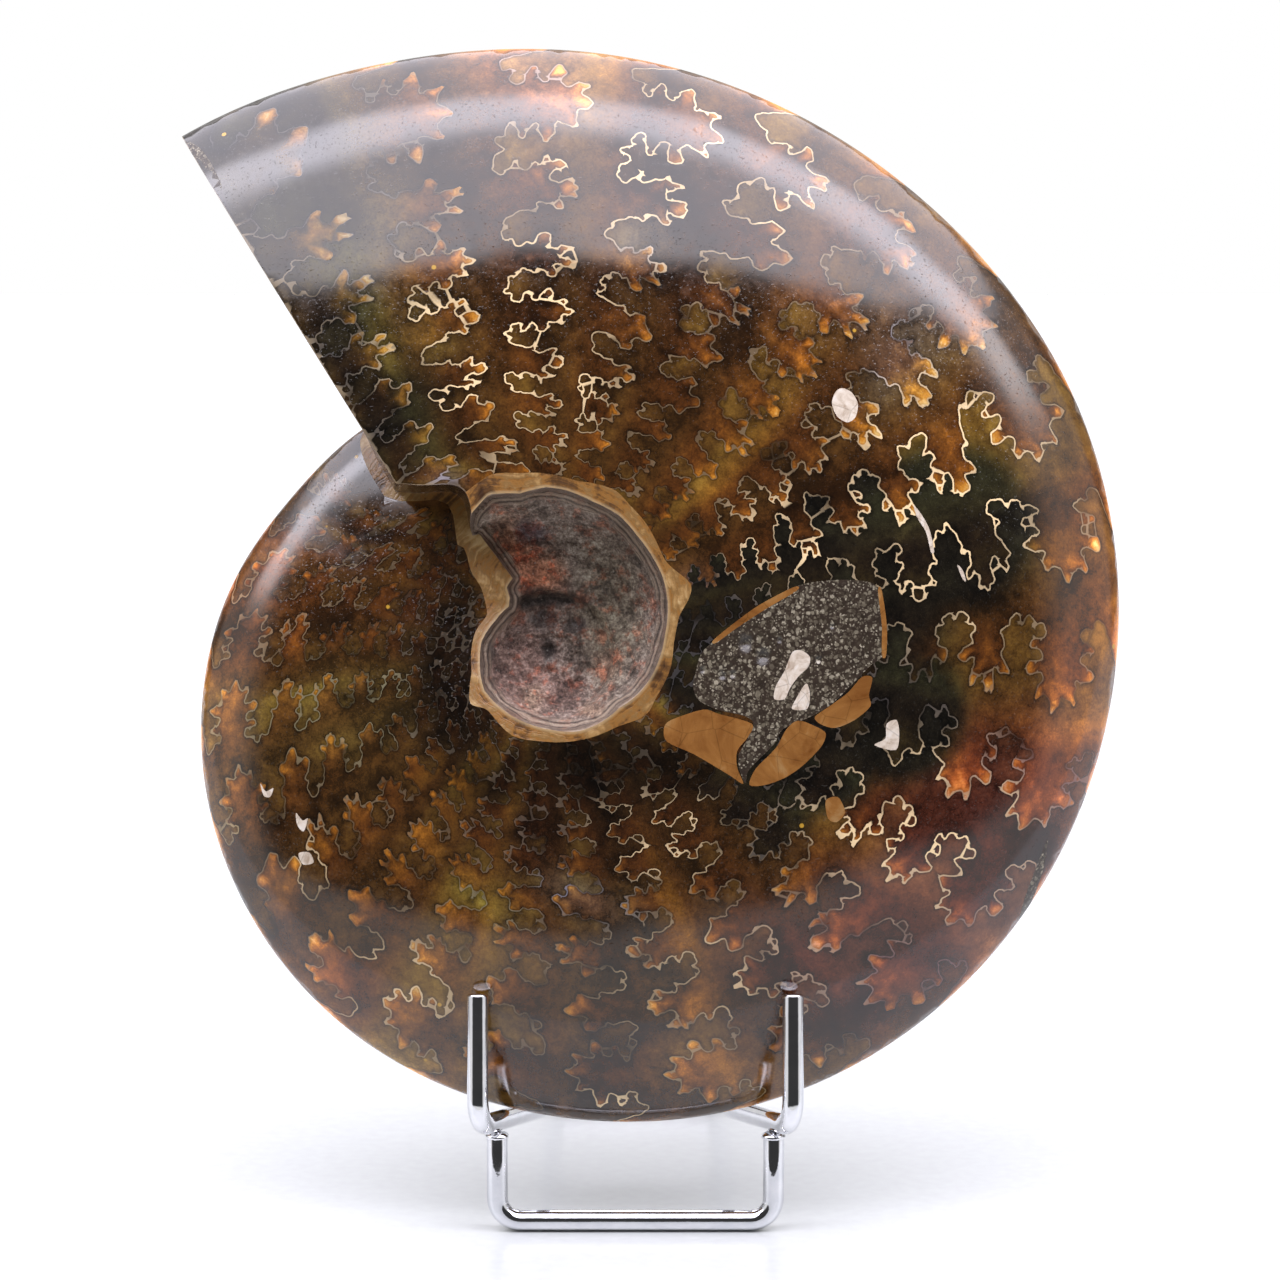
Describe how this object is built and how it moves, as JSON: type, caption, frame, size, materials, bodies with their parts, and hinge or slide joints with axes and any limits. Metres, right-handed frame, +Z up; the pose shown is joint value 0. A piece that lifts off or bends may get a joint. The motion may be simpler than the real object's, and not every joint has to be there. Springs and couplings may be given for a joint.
{
  "type": "fossil ammonite",
  "caption": "Whole polished ammonite, a flat lens-shaped coil with a cut mouth, leaning back on a chromed wire stand with prongs, backrest, foot and rear strut.",
  "frame": {"origin": "middle of the base of the object's box, on the surface that the stand rests on", "axes": "+Z up, -Y towards the viewer of the shown face, +X to that viewer's right"},
  "size_m": [0.1716, 0.0956, 0.2126],
  "materials": {
    "polished_fossil": "polished dark brown calcite and shell with amber, olive and cream suture lines",
    "chrome_wire": "bright chrome plating on round steel wire"
  },
  "bodies": {
    "root": {"ammonite": "polished_fossil", "cradle_wire": "chrome_wire", "front_foot": "chrome_wire", "rear_strut": "chrome_wire"}
  },
  "joints": []
}
